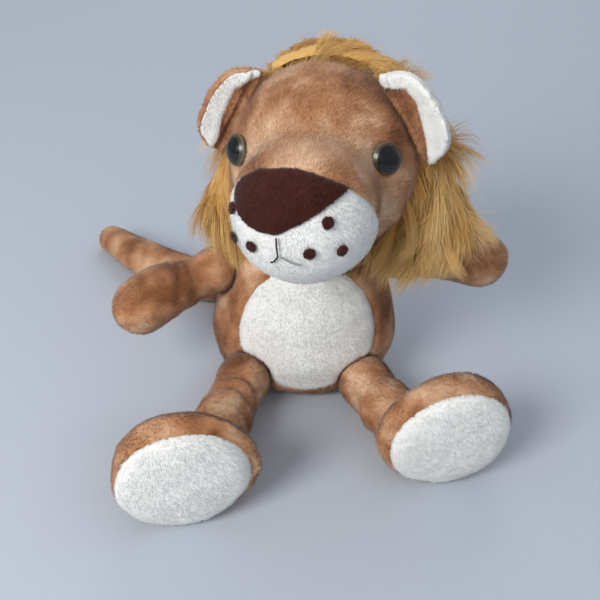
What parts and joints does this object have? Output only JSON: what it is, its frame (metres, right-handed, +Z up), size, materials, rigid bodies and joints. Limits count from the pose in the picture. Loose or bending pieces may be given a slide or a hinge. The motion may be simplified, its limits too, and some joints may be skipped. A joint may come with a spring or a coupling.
{
  "type": "plush lion",
  "caption": "Sitting stuffed lion with a turned head, long-pile mane, round muzzle, glossy eyes, open arms, wide pale soles and a tail laid to one side.",
  "frame": {"origin": "the middle of the flat under the torso's seat, on the surface that the toy sits on", "axes": "+Z up, the torso faces -Y, the toy's own right is -X"},
  "size_m": [0.2284, 0.2353, 0.1782],
  "materials": {
    "brown_plush": "short plush pile",
    "tan_plush": "short plush pile",
    "white_plush": "short plush pile",
    "maroon_plush": "short plush pile",
    "mane_pile": "long soft pile",
    "stuffing_fibre": "loose fibre",
    "mouth_thread": "twisted thread",
    "eye_amber": "clear gloss over amber",
    "eye_black": "gloss",
    "washer_plastic": "moulded"
  },
  "bodies": {
    "torso": {"torso_cover": "brown_plush", "torso_stuffing": "stuffing_fibre", "tummy_panel": "white_plush"},
    "neck": {"neck": "brown_plush"},
    "head": {"dot_left_inner": "maroon_plush", "dot_left_outer": "maroon_plush", "dot_left_upper": "maroon_plush", "dot_right_inner": "maroon_plush", "dot_right_outer": "maroon_plush", "dot_right_upper": "maroon_plush", "eye_left_pupil": "eye_black", "eye_left_rim": "eye_amber", "eye_left_stem": "eye_black", "eye_left_washer": "washer_plastic", "eye_right_pupil": "eye_black", "eye_right_rim": "eye_amber", "eye_right_stem": "eye_black", "eye_right_washer": "washer_plastic", "head_cover": "brown_plush", "head_stuffing": "stuffing_fibre", "mane_crown": "mane_pile", "mane_left_cheek": "mane_pile", "mane_left_temple": "mane_pile", "mane_right_cheek": "mane_pile", "mane_right_temple": "mane_pile", "mouth_curl": "mouth_thread", "mouth_line": "mouth_thread", "muzzle_bridge": "tan_plush", "muzzle_chin": "white_plush", "nose_patch": "maroon_plush"},
    "ear_right": {"ear_right_back": "brown_plush", "ear_right_lining": "white_plush"},
    "ear_left": {"ear_left_back": "brown_plush", "ear_left_lining": "white_plush"},
    "arm_right": {"arm_right_cover": "brown_plush", "arm_right_stuffing": "stuffing_fibre"},
    "arm_left": {"arm_left_cover": "brown_plush", "arm_left_stuffing": "stuffing_fibre"},
    "leg_right": {"leg_right_cover": "brown_plush", "leg_right_stuffing": "stuffing_fibre", "sole_right": "white_plush"},
    "leg_left": {"leg_left_cover": "brown_plush", "leg_left_stuffing": "stuffing_fibre", "sole_left": "white_plush"},
    "tail": {"tail": "brown_plush"}
  },
  "joints": [
    {"name": "head_turn", "type": "hinge", "parent": "torso", "child": "neck", "pos_m": [0.0085, -0.01, 0.092], "axis": [0, 0, 1], "range_deg": [-30, 64], "stiffness_Nm_per_rad": 0.08},
    {"name": "head_nod", "type": "hinge", "parent": "neck", "child": "head", "pos_m": [0.0085, -0.01, 0.092], "axis": [0.9563, -0.2924, 0], "range_deg": [-12, 15], "stiffness_Nm_per_rad": 0.5},
    {"name": "ear_right_bend", "type": "hinge", "parent": "head", "child": "ear_right", "pos_m": [-0.03501, -0.00489, 0.14642], "axis": [0.4053, -0.0135, 0.9141], "range_deg": [-12, 30], "stiffness_Nm_per_rad": 0.001},
    {"name": "ear_left_bend", "type": "hinge", "parent": "head", "child": "ear_left", "pos_m": [0.03362, -0.02587, 0.15523], "axis": [0.5439, -0.2767, -0.7922], "range_deg": [-12, 30], "stiffness_Nm_per_rad": 0.001},
    {"name": "shoulder_right", "type": "hinge", "parent": "torso", "child": "arm_right", "pos_m": [-0.0461, 0, 0.059], "axis": [-0.4695, 0.8829, 0], "range_deg": [-17, 56], "stiffness_Nm_per_rad": 0.04},
    {"name": "shoulder_left", "type": "hinge", "parent": "torso", "child": "arm_left", "pos_m": [0.0461, 0.007, 0.067], "axis": [0, -1, 0], "range_deg": [-31, 56], "stiffness_Nm_per_rad": 0.04},
    {"name": "hip_right", "type": "hinge", "parent": "torso", "child": "leg_right", "pos_m": [-0.031, -0.033, 0.0145], "axis": [-0.9563, 0.2924, 0], "range_deg": [-35, 32], "stiffness_Nm_per_rad": 0.05},
    {"name": "hip_left", "type": "hinge", "parent": "torso", "child": "leg_left", "pos_m": [0.031, -0.033, 0.0145], "axis": [-0.8988, -0.4384, 0], "range_deg": [-35, 32], "stiffness_Nm_per_rad": 0.05},
    {"name": "tail_wag", "type": "hinge", "parent": "torso", "child": "tail", "pos_m": [-0.004, 0.0432, 0.0112], "axis": [0, 0, 1], "range_deg": [-124, 8], "stiffness_Nm_per_rad": 0.02}
  ]
}
